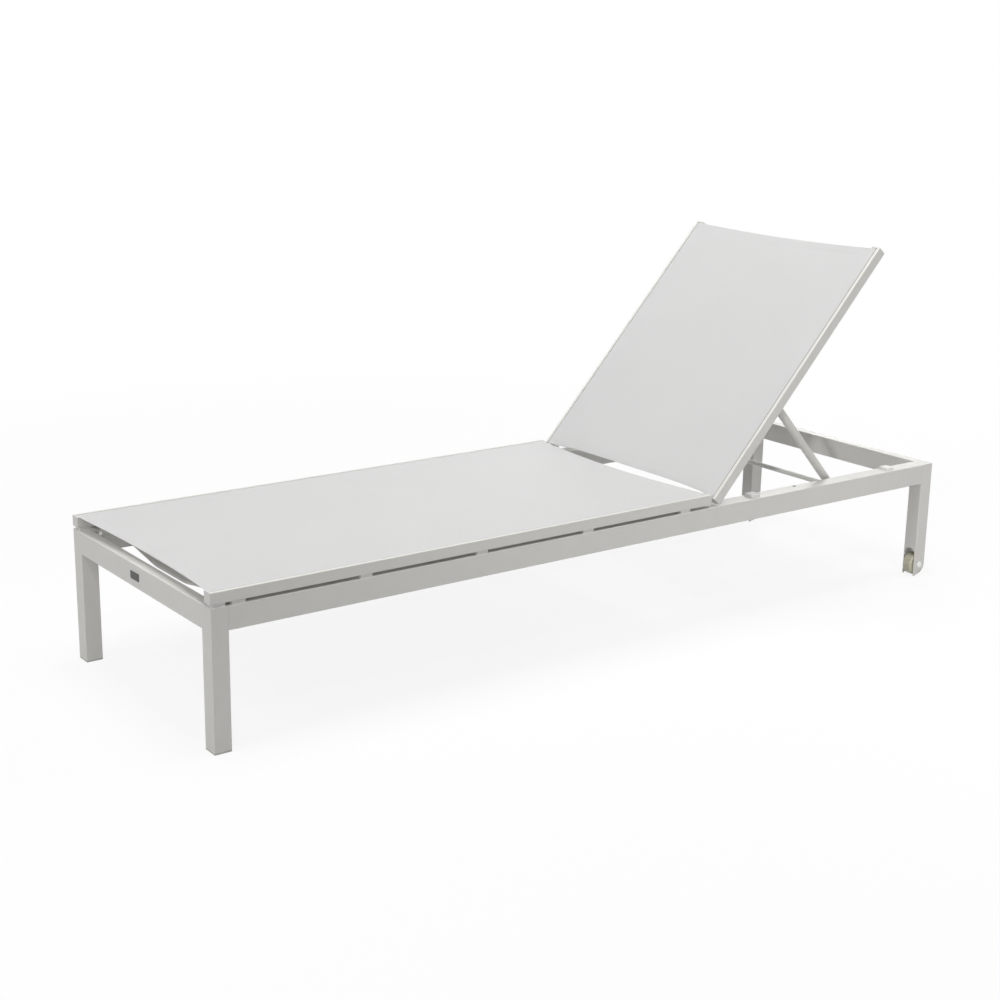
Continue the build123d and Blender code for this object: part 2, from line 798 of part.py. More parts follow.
with BuildPart() as prop_strut_caps:
    with BuildSketch(
        across(strut_deck, -strut_head - strut_cap_flange),
        across(strut_deck, strut_length + strut_tail),
    ):
        with Locations([(side * strut_middle, 0) for side in sides.values()]):
            Circle(strut_radius)
    extrude(amount=strut_cap_flange)
    with BuildSketch(
        across(strut_deck, -strut_head),
        across(strut_deck, strut_length + strut_tail - strut_plug_depth),
    ):
        with Locations([(side * strut_middle, 0) for side in sides.values()]):
            Circle(strut_radius - strut_wall - plug_clearance)
    extrude(amount=strut_plug_depth)
keep(prop_strut_caps, "prop_strut_caps")


# Racks on the inner faces of the side rails

notch_radius = rod_radius + tooth_clearance
notch_half = (notch_radius ** 2 - (notch_radius - notch_depth) ** 2) ** 0.5
for side_name, side in sides.items():
    with BuildPart() as rack:
        with BuildSketch(flank(ground, side, rack_inner, rack_outer)):
            with BuildLine():
                first_top = rest_points[0][1] - rod_radius - tooth_clearance
                last_top = rest_points[-1][1] - rod_radius - tooth_clearance
                horn_top = rest_points[0][1] + rack_horn_rise
                Polyline(
                    (rack_head, last_top - rack_head_fall), (rack_head, rack_lower_edge),
                    (rack_foot, rack_lower_edge), (rack_foot, horn_top),
                    (rack_stop, horn_top), (rack_stop, first_top),
                )
                corner = (rack_stop, first_top)
                for distance, height in rest_points:
                    tooth_top = height - rod_radius - tooth_clearance
                    Line(corner, (distance - notch_half, tooth_top))
                    ThreePointArc(
                        (distance - notch_half, tooth_top),
                        (distance, tooth_top - notch_depth),
                        (distance + notch_half, tooth_top),
                    )
                    corner = (distance + notch_half, tooth_top)
                Line(corner, (rack_head, last_top - rack_head_fall))
            make_face()
            with Locations([(place, rack_screw_height) for place in rack_screw_places]):
                Circle(rack_screw_radius, mode=Mode.SUBTRACT)
        extrude(amount=rack_thickness)
        for place in rack_screw_places:
            round_bar(
                ground, side, rack_inner, rack_inner + rack_screw_head_height,
                (place, rack_screw_height), rack_screw_head_radius, Mode.SUBTRACT,
            )
    keep(rack, f"rack_{side_name}")

with BuildPart() as rack_screws:
    for side in sides.values():
        for place in rack_screw_places:
            round_bar(
                ground, side, rack_inner, rack_inner + rack_screw_head_height,
                (place, rack_screw_height), rack_screw_head_radius,
            )
            round_bar(
                ground, side, rack_inner + rack_screw_head_height, rack_outer + rack_screw_depth,
                (place, rack_screw_height), rack_screw_radius,
            )
        socket_depth = socket_depth_share * rack_screw_head_height
        with BuildSketch(flank(ground, side, rack_inner, rack_inner + socket_depth)):
            with Locations([(place, rack_screw_height) for place in rack_screw_places]):
                RegularPolygon(socket_share * rack_screw_head_radius, socket_sides)
        extrude(amount=socket_depth, mode=Mode.SUBTRACT)
keep(rack_screws, "rack_screws")


# Small screws and plugs of the side rails

end_screw_places = [
    (place, rail_top - end_screw_below)
    for place in (leg_side + end_screw_inset, base_length - leg_side - end_screw_inset)
]
with BuildPart() as rail_end_screws:
    for side in sides.values():
        head_face = rail_inner - end_screw_head_height
        socket_depth = socket_depth_share * end_screw_head_height
        for place in end_screw_places:
            round_bar(ground, side, head_face, rail_inner, place, end_screw_head_radius)
            round_bar(ground, side, rail_inner, rail_inner + end_screw_depth, place, end_screw_radius)
        with BuildSketch(flank(ground, side, head_face, head_face + socket_depth)):
            with Locations(end_screw_places):
                RegularPolygon(socket_share * end_screw_head_radius, socket_sides)
        extrude(amount=socket_depth, mode=Mode.SUBTRACT)
keep(rail_end_screws, "rail_end_screws")

plug_places = [(rail_plug_place, side * (rail_inner + rail_plug_inset)) for side in sides.values()]
with BuildPart() as rail_plugs:
    with BuildSketch(ground.offset(rail_top)):
        with Locations(plug_places):
            Circle(rail_plug_radius)
    extrude(amount=rail_plug_rise)
    with BuildSketch(ground.offset(rail_top - tube_wall)):
        with Locations(plug_places):
            Circle(rail_plug_stem_radius)
    extrude(amount=tube_wall)
keep(rail_plugs, "rail_plugs")
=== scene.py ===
import json
import math

import bmesh
import bpy
from mathutils import Matrix, Vector


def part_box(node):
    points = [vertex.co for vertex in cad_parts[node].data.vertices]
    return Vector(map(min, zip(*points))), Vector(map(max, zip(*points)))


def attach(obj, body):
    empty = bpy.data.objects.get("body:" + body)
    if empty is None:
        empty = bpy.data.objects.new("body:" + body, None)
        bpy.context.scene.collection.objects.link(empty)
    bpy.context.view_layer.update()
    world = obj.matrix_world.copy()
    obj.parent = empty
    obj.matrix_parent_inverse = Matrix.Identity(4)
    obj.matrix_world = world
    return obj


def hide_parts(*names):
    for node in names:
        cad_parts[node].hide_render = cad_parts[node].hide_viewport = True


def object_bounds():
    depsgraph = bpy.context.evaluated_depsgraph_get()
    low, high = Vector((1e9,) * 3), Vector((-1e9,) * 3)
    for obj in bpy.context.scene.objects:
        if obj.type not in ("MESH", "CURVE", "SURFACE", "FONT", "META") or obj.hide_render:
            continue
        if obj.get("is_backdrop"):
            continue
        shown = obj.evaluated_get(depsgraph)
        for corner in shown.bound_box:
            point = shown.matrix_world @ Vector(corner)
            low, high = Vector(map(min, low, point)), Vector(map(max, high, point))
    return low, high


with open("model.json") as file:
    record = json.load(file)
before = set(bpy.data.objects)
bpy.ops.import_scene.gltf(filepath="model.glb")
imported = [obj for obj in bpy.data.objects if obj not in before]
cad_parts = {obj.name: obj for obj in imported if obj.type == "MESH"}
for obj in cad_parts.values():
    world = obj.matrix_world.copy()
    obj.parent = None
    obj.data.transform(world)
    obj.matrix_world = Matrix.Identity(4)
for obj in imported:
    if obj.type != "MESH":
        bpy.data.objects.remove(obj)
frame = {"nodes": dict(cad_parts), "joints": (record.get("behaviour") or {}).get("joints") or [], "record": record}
cad_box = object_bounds()

# Sun lounger, in metres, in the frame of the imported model: X from foot to head, Y across, Z up.

MM = 0.001
PER_METRE = 1 / MM


# Places taken from the frame

joints = {joint["name"]: joint for joint in frame["joints"]}
recline = joints["back_recline"]
hinge_point = Vector(recline["pos_m"])
# at its lower limit the back lies flat, so it now stands as far up as that limit is away
back_angle = math.radians(-recline["range_deg"][0])

seat_caps_low, seat_caps_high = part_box("seat_end_caps")
half_width = seat_caps_high.y
seat_start = seat_caps_low.x
rail_bottom = seat_caps_low.z
hinge_height = hinge_point.z - rail_bottom


class Deck:
    """A lengthwise plane: places along it, across it and above it become points."""

    def __init__(self, origin, angle):
        self.origin = Vector(origin)
        self.along = Vector((math.cos(angle), 0, math.sin(angle)))
        self.up = Vector((-math.sin(angle), 0, math.cos(angle)))

    def point(self, along, across, up):
        return self.origin + along * self.along + up * self.up + Vector((0, across, 0))

    def reach(self, node):
        """Lowest and highest place along the deck of a node's vertices."""
        places = [(v.co - self.origin).dot(self.along) for v in frame["nodes"][node].data.vertices]
        return min(places), max(places)


seat_deck = Deck((seat_start, 0, rail_bottom), 0)
back_up = Vector((-math.sin(back_angle), 0, math.cos(back_angle)))
back_deck = Deck(hinge_point - hinge_height * back_up, back_angle)


# Node helpers

def material(name):
    """A new node material with its Principled shader: (material, nodes, links, shader)."""
    made = bpy.data.materials.new(name)
    made.use_nodes = True
    nodes = made.node_tree.nodes
    return made, nodes, made.node_tree.links, nodes["Principled BSDF"]


def node(tree_nodes, kind, **settings):
    made = tree_nodes.new(kind)
    for key, value in settings.items():
        setattr(made, key, value)
    return made


def math_node(tree, operation, *values):
    """A Math node: numbers go in its sockets, and sockets are linked to it."""
    made = node(tree.nodes, "ShaderNodeMath", operation=operation)
    for index, value in enumerate(values):
        if isinstance(value, (int, float)):
            made.inputs[index].default_value = value
        else:
            tree.links.new(value, made.inputs[index])
    return made.outputs[0]


def spread(tree, value, low, high):
    """Maps a mask from 0 to 1 onto a range."""
    made = node(tree.nodes, "ShaderNodeMapRange")
    made.inputs["To Min"].default_value = low
    made.inputs["To Max"].default_value = high
    tree.links.new(value, made.inputs["Value"])
    return made.outputs[0]


def bump(nodes, links, shader, height, strength, depth):
    made = node(nodes, "ShaderNodeBump")
    made.inputs["Strength"].default_value = strength
    made.inputs["Distance"].default_value = depth
    links.new(height, made.inputs["Height"])
    links.new(made.outputs[0], shader.inputs["Normal"])


def new_group(name, inputs, outputs):
    """A shader node group: (group, input sockets by name, output sockets by name)."""
    group = bpy.data.node_groups.new(name, "ShaderNodeTree")
    kinds = {"value": "NodeSocketFloat", "vector": "NodeSocketVector", "colour": "NodeSocketColor"}
    for socket_name, (kind, default) in inputs.items():
        socket = group.interface.new_socket(socket_name, in_out="INPUT", socket_type=kinds[kind])
        if default is not None:
            socket.default_value = default
    for socket_name, kind in outputs.items():
        group.interface.new_socket(socket_name, in_out="OUTPUT", socket_type=kinds[kind])
    entry = group.nodes.new("NodeGroupInput")
    leave = group.nodes.new("NodeGroupOutput")
    return group, entry.outputs, leave.inputs


def use_group(tree, group, **values):
    """Places a group in a material or another group and fills its inputs."""
    made = node(tree.nodes, "ShaderNodeGroup", node_tree=group)
    for key, value in values.items():
        socket = made.inputs[key.replace("_", " ")]
        if isinstance(value, (int, float, tuple)):
            socket.default_value = value
        else:
            tree.links.new(value, socket)
    return made.outputs


def place_of(tree):
    """Object coordinates, which are metres in the frame, because every object sits at the origin."""
    return tree.nodes.new("ShaderNodeTexCoord").outputs["Object"]


# Effects that several materials use

def build_grain():
    """Fine moulded or sprayed grain: a height and a slow patchy tone. Its sizes are in millimetres."""
    group, given, out = new_group(
        "fine_grain",
        {"Place": ("vector", None), "Grain Size": ("value", 1.0), "Patch Size": ("value", 60.0)},
        {"Height": "value", "Patches": "value"},
    )
    grain_scale = math_node(group, "DIVIDE", PER_METRE, given["Grain Size"])
    fine = node(group.nodes, "ShaderNodeTexNoise", noise_dimensions="3D")
    fine.inputs["Detail"].default_value = 2.0
    fine.inputs["Roughness"].default_value = 0.55
    group.links.new(given["Place"], fine.inputs["Vector"])
    group.links.new(grain_scale, fine.inputs["Scale"])
    patch_scale = math_node(group, "DIVIDE", PER_METRE, given["Patch Size"])
    patches = node(group.nodes, "ShaderNodeTexNoise", noise_dimensions="3D")
    patches.inputs["Detail"].default_value = 3.0
    patches.inputs["Roughness"].default_value = 0.5
    group.links.new(given["Place"], patches.inputs["Vector"])
    group.links.new(patch_scale, patches.inputs["Scale"])
    group.links.new(fine.outputs[0], out["Height"])
    group.links.new(patches.outputs[0], out["Patches"])
    return group


def build_tone():
    """Shifts a colour a little lighter and darker by a mask, around its middle."""
    group, given, out = new_group(
        "patchy_tone",
        {"Colour": ("colour", (0.8, 0.8, 0.8, 1)), "Mask": ("value", 0.5), "Amount": ("value", 0.04)},
        {"Colour": "colour"},
    )
    centred = math_node(group, "SUBTRACT", given["Mask"], 0.5)
    swing = math_node(group, "MULTIPLY", centred, given["Amount"])
    gain = math_node(group, "MULTIPLY_ADD", swing, 2.0, 1.0)
    scaled = node(group.nodes, "ShaderNodeVectorMath", operation="SCALE")
    group.links.new(given["Colour"], scaled.inputs[0])
    group.links.new(gain, scaled.inputs["Scale"])
    group.links.new(scaled.outputs[0], out["Colour"])
    return group


def build_dust():
    """Dust that settles on upward faces and in patches."""
    group, given, out = new_group(
        "settled_dust",
        {"Colour": ("colour", (0.8, 0.8, 0.8, 1)), "Patches": ("value", 0.5), "Amount": ("value", 0.1)},
        {"Colour": "colour"},
    )
    dust_colour = (0.62, 0.60, 0.56, 1)
    facing = node(group.nodes, "ShaderNodeSeparateXYZ")
    group.links.new(group.nodes.new("ShaderNodeNewGeometry").outputs["Normal"], facing.inputs[0])
    upward = math_node(group, "MAXIMUM", facing.outputs["Z"], 0.0)
    patchy = math_node(group, "MULTIPLY", upward, given["Patches"])
    mask = math_node(group, "MULTIPLY", patchy, given["Amount"])
    mix = node(group.nodes, "ShaderNodeMix", data_type="RGBA")
    mix.inputs["B"].default_value = dust_colour
    group.links.new(mask, mix.inputs["Factor"])
    group.links.new(given["Colour"], mix.inputs["A"])
    group.links.new(mix.outputs["Result"], out["Colour"])
    return group


def build_weave():
    """Plain weave of round coated yarns, from a UV map in metres: cover, height and which yarn is on top."""
    group, given, out = new_group(
        "open_weave",
        {"UV": ("vector", None), "Pitch": ("value", 1.5), "Yarn": ("value", 0.7)},
        {"Cover": "value", "Height": "value", "Lengthwise": "value"},
    )
    yarn_sink = 0.9
    covered_height = 0.45
    axes = node(group.nodes, "ShaderNodeSeparateXYZ")
    group.links.new(given["UV"], axes.inputs[0])
    cells = math_node(group, "DIVIDE", PER_METRE, given["Pitch"])
    half_yarn = math_node(group, "MULTIPLY", given["Yarn"], 0.5)
    aside, inside, crown, parity = [], [], [], []
    for axis in ("X", "Y"):
        turns = math_node(group, "MULTIPLY", axes.outputs[axis], cells)
        offset = math_node(group, "SUBTRACT", math_node(group, "FRACT", turns), 0.5)
        away = math_node(group, "ABSOLUTE", offset)
        share = math_node(group, "DIVIDE", away, half_yarn)
        round_off = math_node(group, "SUBTRACT", 1.0, math_node(group, "MULTIPLY", share, share))
        aside.append(away)
        inside.append(math_node(group, "LESS_THAN", away, half_yarn))
        crown.append(math_node(group, "SQRT", math_node(group, "MAXIMUM", round_off, 0.0)))
        parity.append(math_node(group, "FLOOR", turns))
    both = math_node(group, "ADD", parity[0], parity[1])
    over = math_node(group, "LESS_THAN", math_node(group, "FLOORED_MODULO", both, 2.0), 0.5)
    under = math_node(group, "SUBTRACT", 1.0, over)
    # a yarn rises where it passes over and sinks to both sides of the crossing
    rise = [
        math_node(group, "SUBTRACT", 1.0, math_node(group, "MULTIPLY", away, yarn_sink))
        for away in reversed(aside)
    ]
    lengthwise = math_node(group, "MULTIPLY", crown[0], rise[0])
    crosswise = math_node(group, "MULTIPLY", crown[1], rise[1])
    upper = math_node(
        group, "MAXIMUM",
        math_node(group, "MULTIPLY", lengthwise, over),
        math_node(group, "MULTIPLY", crosswise, under),
    )
    highest = math_node(group, "MAXIMUM", lengthwise, crosswise)
    lower = math_node(group, "MULTIPLY", highest, covered_height)
    group.links.new(math_node(group, "MAXIMUM", upper, lower), out["Height"])
    group.links.new(math_node(group, "MAXIMUM", inside[0], inside[1]), out["Cover"])
    group.links.new(math_node(group, "MULTIPLY", over, inside[0]), out["Lengthwise"])
    return group


GRAIN = build_grain()
TONE = build_tone()
DUST = build_dust()
WEAVE = build_weave()


# Sling sizes: the ledge is the rail's inner lip that the cloth lies on, beside the slot that holds its edge

ledge_height = 23.0 * MM
slot_middle = half_width - 9.1 * MM
deck_inner = half_width - 25.0 * MM
cloth_thickness = 0.35 * MM
hem_thickness = 1.3 * MM
hem_nose = hem_thickness / 2
hem_below = hem_thickness - cloth_thickness / 2
hem_width = 24.0 * MM
hem_step = 0.5 * MM
sling_sag = 3.0 * MM
slot_bend = 0.9 * MM
edge_lift = 0.9 * MM
lift_width = 5.0 * MM
slot_depth = 1.6 * MM
section_run = 2 * (slot_middle - slot_bend) + math.pi * slot_bend + 2 * slot_depth
# band of painted shade along each side edge of the cloth: the part down in the slot and 1.2 mm beside it
groove_shade_width = slot_depth + 1.2 * MM
groove_shade_fade = 0.2 * MM
dip_fade = 8 * hem_width

# Slow ripples of the cloth, whose lines wander from side to side

ripple_height = 0.12 * MM
ripple_radians_across = 61
ripple_radians_along = 17
wander_radians = 2.1
wander_radians_along = 9


# Materials

def grained(name, colour, rough, grain, depth, tone=0.04, dust=0.1, patch=70.0, metallic=0.0, specular=0.5):
    """A coated, moulded or turned surface with grain, patchy tone and a little dust.

    grain and patch are sizes in millimetres, depth is the grain's height in metres, and tone and dust
    are shares.
    """
    made, nodes, links, shader = material(name)
    tree = made.node_tree
    rough_swing = 0.06
    grain_out = use_group(tree, GRAIN, Place=place_of(tree), Grain_Size=grain, Patch_Size=patch)
    toned = use_group(tree, TONE, Colour=(*colour, 1), Mask=grain_out["Patches"], Amount=tone)
    dusty = use_group(tree, DUST, Colour=toned["Colour"], Patches=grain_out["Patches"], Amount=dust)
    links.new(dusty["Colour"], shader.inputs["Base Color"])
    patchy_gloss = spread(tree, grain_out["Patches"], rough - rough_swing, rough + rough_swing)
    links.new(patchy_gloss, shader.inputs["Roughness"])
    shader.inputs["Metallic"].default_value = metallic
    shader.inputs["Specular IOR Level"].default_value = specular
    bump(nodes, links, shader, grain_out["Height"], strength=0.6, depth=depth)
    return made


def groove_shade_band(tree, uv):
    """1 on the bands along the sling's side edges that go down into the slots and a little beyond, where the cloth
    gets painted shade of the slot's groove.
    """
    axes = tree.nodes.new("ShaderNodeSeparateXYZ")
    tree.links.new(uv, axes.inputs[0])
    from_far_edge = math_node(tree, "SUBTRACT", section_run, axes.outputs["X"])
    edge_run = math_node(tree, "MINIMUM", axes.outputs["X"], from_far_edge)
    band = node(tree.nodes, "ShaderNodeMapRange", interpolation_type="SMOOTHSTEP")
    band.inputs["From Min"].default_value = groove_shade_width + groove_shade_fade
    band.inputs["From Max"].default_value = groove_shade_width - groove_shade_fade
    tree.links.new(edge_run, band.inputs["Value"])
    return band.outputs[0]


def sling_cloth():
    """Open weave of coated yarn, lighter on the yarns that run lengthwise, with painted shade on its side bands at
    the slots.
    """
    made, nodes, links, shader = material("sling_cloth")
    tree = made.node_tree
    yarn_colour = (0.663, 0.662, 0.660, 1)
    # painted shade of the slot's groove, laid dark on the cloth's side bands
    groove_shade_colour = (0.17, 0.17, 0.165, 1)
    uv = nodes.new("ShaderNodeUVMap")
    uv.uv_map = "cloth"
    weave = use_group(tree, WEAVE, UV=uv.outputs[0], Pitch=1.5, Yarn=0.72)
    grain_out = use_group(tree, GRAIN, Place=place_of(tree), Grain_Size=0.4, Patch_Size=160.0)
    toned = use_group(tree, TONE, Colour=yarn_colour, Mask=grain_out["Patches"], Amount=0.02)
    yarns = use_group(tree, TONE, Colour=toned["Colour"], Mask=weave["Lengthwise"], Amount=0.03)
    mix = node(nodes, "ShaderNodeMix", data_type="RGBA")
    mix.inputs["B"].default_value = groove_shade_colour
    links.new(groove_shade_band(tree, uv.outputs[0]), mix.inputs["Factor"])
    links.new(yarns["Colour"], mix.inputs["A"])
    links.new(mix.outputs["Result"], shader.inputs["Base Color"])
    links.new(weave["Cover"], shader.inputs["Alpha"])
    links.new(spread(tree, grain_out["Height"], low=0.52, high=0.66), shader.inputs["Roughness"])
    shader.inputs["Specular IOR Level"].default_value = 0.35
    bump(nodes, links, shader, weave["Height"], strength=0.5, depth=0.25 * MM)
    return made


frame_coat = grained("frame_coat", (0.72, 0.71, 0.675), 0.42, 0.9, 0.05 * MM, tone=0.03, dust=0.08)
cap_plastic = grained("cap_plastic", (0.70, 0.695, 0.67), 0.38, 0.6, 0.03 * MM, tone=0.03)
pad_rubber = grained("pad_rubber", (0.70, 0.69, 0.67), 0.6, 0.5, 0.05 * MM, tone=0.05)
# painted light: a lighter copy of the pad rubber for the rest pads, standing in for light the lamps don't give
# them
rest_rubber_painted_light = grained("rest_rubber_painted_light", (0.84, 0.84, 0.82), 0.55, 0.5, 0.04 * MM, tone=0.04)
# painted light: a lighter copy of the frame coat for the prop rod, standing in for light the lamps don't give it
rod_coat_painted_light = grained("rod_coat_painted_light", (0.84, 0.835, 0.80), 0.36, 0.8, 0.04 * MM, tone=0.03, dust=0.05)
glide_plastic = grained("glide_plastic", (0.52, 0.51, 0.48), 0.55, 0.8, 0.08 * MM, tone=0.12, dust=0.2)
rack_plastic = grained("rack_plastic", (0.60, 0.59, 0.56), 0.5, 0.6, 0.04 * MM, tone=0.05)
bush_plastic = grained("bush_plastic", (0.62, 0.61, 0.58), 0.4, 0.6, 0.03 * MM)
keder_plastic = grained("keder_plastic", (0.70, 0.70, 0.69), 0.45, 0.5, 0.03 * MM)
wheel_plastic = grained("wheel_plastic", (0.54, 0.52, 0.39), 0.20, 0.7, 0.03 * MM, tone=0.08, dust=0.15)
plug_plastic = grained("plug_plastic", (0.22, 0.215, 0.20), 0.4, 0.4, 0.03 * MM)
badge_plate = grained("badge_plate", (0.030, 0.030, 0.026), 0.35, 0.5, 0.03 * MM, tone=0.10, dust=0.05)
steel = grained("steel", (0.74, 0.74, 0.72), 0.40, 0.35, 0.02 * MM, tone=0.08, dust=0.1, metallic=1.0)
cloth = sling_cloth()
thread = grained("thread", (0.74, 0.74, 0.73), 0.6, 0.3, 0.05 * MM, tone=0.04)

# The finish of each material slot, and of the nodes that differ from their slot

SLOT_MATERIALS = {
    "frame": frame_coat,
    "cap": cap_plastic,
    "pad": pad_rubber,
    "glide": glide_plastic,
    "rack": rack_plastic,
    "bush": bush_plastic,
    "keder": keder_plastic,
    "wheel": wheel_plastic,
    "plug": plug_plastic,
    "badge": badge_plate,
    "hardware": steel,
    "sling": cloth,
}

# the prop rod and the rest pads take the lighter copies that carry painted light
NODE_MATERIALS = {
    "prop_rod": rod_coat_painted_light,
    "rest_pads": rest_rubber_painted_light,
}

for subpart in frame["record"]["subparts"]:
    packed = frame["nodes"][subpart["node"]]
    packed.data.materials.clear()
    finish = NODE_MATERIALS.get(subpart["node"], SLOT_MATERIALS[subpart["material_slot"]])
    packed.data.materials.append(finish)


# Mesh helper

def add_piece(name, points, faces, finish, body, smooth_angle=35, uvs=None):
    """A mesh piece that rides on a body. smooth_angle is the largest edge turn that stays smooth."""
    mesh = bpy.data.meshes.new(name)
    mesh.from_pydata([tuple(p) for p in points], [], faces)
    if uvs is not None:
        layer = mesh.uv_layers.new(name="cloth")
        for loop in mesh.loops:
            layer.data[loop.index].uv = uvs[loop.vertex_index]
    mesh.materials.append(finish)
    work = bmesh.new()
    work.from_mesh(mesh)
    bmesh.ops.recalc_face_normals(work, faces=work.faces)
    for face in work.faces:
        face.smooth = True
    for edge in work.edges:
        if len(edge.link_faces) == 2 and edge.calc_face_angle() > math.radians(smooth_angle):
            edge.smooth = False
    work.to_mesh(mesh)
    work.free()
    made = bpy.data.objects.new(name, mesh)
    bpy.context.scene.collection.objects.link(made)
    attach(made, body)
    return made


# Slings

def smoothstep(value):
    value = min(max(value, 0.0), 1.0)
    return value * value * (3 - 2 * value)


class Sling:
    """Middle surface of a sling. Each pair of dips, insets and powers is for its lower and its upper end.

    A dip is how far the free edge curves in at its middle, a power is how square that curve is, and an
    inset is how far the cloth's bend into the left slot lies from the slot's lip.
    """

    def __init__(self, deck, start, end, dips, insets, powers):
        self.deck = deck
        self.start = start
        self.dips = dips
        self.insets = insets
        self.powers = powers
        self.length = end - start

    def inset(self, across, distance):
        """How far the cloth is drawn in from the left slot's lip at a place."""
        share = smoothstep(distance / self.length)
        widest = self.insets[0] + share * (self.insets[1] - self.insets[0])
        return widest * smoothstep(-across / slot_middle)

    def aside(self, across, distance):
        """Place across, drawn in from the lip."""
        return across * (1 - self.inset(across, distance) / slot_middle)

    def edge_share(self, across, power=2):
        """How far the cloth bellies at a place across, from 0 at the rails to 1 in the middle."""
        return max(0.0, 1 - abs(across / deck_inner) ** power)

    def along(self, across, distance):
        """Place along the deck of a point at a distance from the sling's lower edge."""
        low, high = (self.edge_share(across, power) for power in self.powers)
        near = 1 - smoothstep((distance - hem_width) / dip_fade)
        far = 1 - smoothstep((self.length - distance - hem_width) / dip_fade)
        return self.start + distance + low * self.dips[0] * near - high * self.dips[1] * far

    def height(self, across, distance):
        """Height of the cloth's middle over the rails' underside."""
        lift = ledge_height + cloth_thickness / 2
        rise = edge_lift - self.inset(across, distance)
        lift += rise * smoothstep((abs(across) - (slot_middle - slot_bend - lift_width)) / lift_width)
        wander = wander_radians * math.sin(distance * wander_radians_along)
        ripple = ripple_height * math.sin(across * ripple_radians_across + wander)
        ripple *= math.sin(distance * ripple_radians_along)
        return lift - (sling_sag + ripple) * self.edge_share(across)

    def point(self, across, distance, aside_offset, up_offset):
        """Point of the cloth's middle at a place, moved aside and up by two offsets."""
        aside = self.aside(across, distance) + aside_offset
        up = self.height(across, distance) + up_offset
        return self.deck.point(self.along(across, distance), aside, up)


def section_route():
    """Places across and drops below the ledge along a sling's section, with the length run so far."""
    flat_steps = 56
    lift_steps = 6
    bend_steps = 5
    flat_end = slot_middle - slot_bend
    lift_start = flat_end - lift_width
    right = [(lift_start * step / flat_steps, 0.0) for step in range(1, flat_steps + 1)]
    right += [(lift_start + lift_width * step / lift_steps, 0.0) for step in range(1, lift_steps + 1)]
    for step in range(1, bend_steps + 1):
        turn = math.radians(90 * step / bend_steps)
        right.append((flat_end + slot_bend * math.sin(turn), slot_bend * (1 - math.cos(turn))))
    right.append((slot_middle, slot_bend + slot_depth))
    route = [(-across, drop) for across, drop in reversed(right)] + [(0.0, 0.0)] + right
    run = [0.0]
    for before, after in zip(route, route[1:]):
        run.append(run[-1] + math.dist(before, after))
    return route, run


def section_normal(route, index):
    """(across, up) of the outward direction at a point of the section."""
    before = route[max(index - 1, 0)]
    after = route[min(index + 1, len(route) - 1)]
    slope = Vector((after[0] - before[0], before[1] - after[1])).normalized()
    return -slope.y, slope.x


def row_places(length):
    """Distances of the mesh's rows from the sling's lower edge, close together in both hems."""
    nose_steps = 6
    row_step = 12 * MM
    nose_turns = [math.radians(90 * step / nose_steps) for step in range(1, nose_steps + 1)]
    hem_rows = [hem_nose * (1 - math.cos(turn)) for turn in nose_turns]
    hem_rows += [3 * hem_nose, 5 * MM, 12 * MM, 18 * MM]
    hem_rows += [hem_width - hem_step, hem_width, hem_width + hem_step]
    panel = length - 2 * hem_width
    count = int(panel / row_step)
    inner = [hem_width + hem_step + (panel - 2 * hem_step) * step / count for step in range(1, count)]
    return [0.0] + hem_rows + inner + [length - row for row in reversed(hem_rows)] + [length]


def depths(edge):
    """(above, below) the cloth's middle at a distance from a free edge.

    The hem is thicker below, its fold is round, and it ends between its last two close rows.
    """
    above = cloth_thickness / 2
    if edge < hem_nose:
        half = hem_nose * math.sqrt(max(0.0, 1 - (1 - edge / hem_nose) ** 2))
        centre = above - hem_nose
        return centre + half, half - centre
    if edge < hem_width - hem_step / 2:
        return above, hem_below
    return above, above


def sheet_faces(wide, count):
    """Faces of an upper and a lower layer of count rows of wide points, closed along all four edges."""
    layer_size = wide * count
    faces = []
    for row in range(count - 1):
        for column in range(wide - 1):
            corner = row * wide + column
            faces.append((corner, corner + 1, corner + wide + 1, corner + wide))
            low = corner + layer_size
            faces.append((low, low + wide, low + wide + 1, low + 1))
    for row in range(count - 1):
        for column in (0, wide - 1):
            corner = row * wide + column
            faces.append((corner, corner + wide, corner + wide + layer_size, corner + layer_size))
    for column in range(wide - 1):
        for row in (0, count - 1):
            corner = row * wide + column
            faces.append((corner, corner + 1, corner + 1 + layer_size, corner + layer_size))
    return faces


def sling_mesh(name, sling, body):
    """A closed thin cloth with folded hems at both free ends and its side edges down in the slots."""
    route, run = section_route()
    normals = [section_normal(route, index) for index in range(len(route))]
    rows = row_places(sling.length)
    points, uvs = [], []
    for layer in (1, -1):
        for distance in rows:
            above, below = depths(min(distance, sling.length - distance))
            offset = above if layer > 0 else -below
            for (across, drop), (aside, up), place in zip(route, normals, run):
                points.append(sling.point(across, distance, offset * aside, offset * up - drop))
                uvs.append((place, distance))
    faces = sheet_faces(len(route), len(rows))
    return add_piece(name, points, faces, cloth, body, uvs=uvs, smooth_angle=60)


# Stitches: each ring of one is a place along it and a width, as shares of its length and radius

stitch_length = 3.0 * MM
stitch_pitch = stitch_length + 0.9 * MM
thread_radius = 0.32 * MM
stitch_rise = 0.1 * thread_radius
stitch_sides = 6
ring_shares = [(-0.5, 0.35), (-0.38, 0.85), (0.0, 1.0), (0.38, 0.85), (0.5, 0.35)]


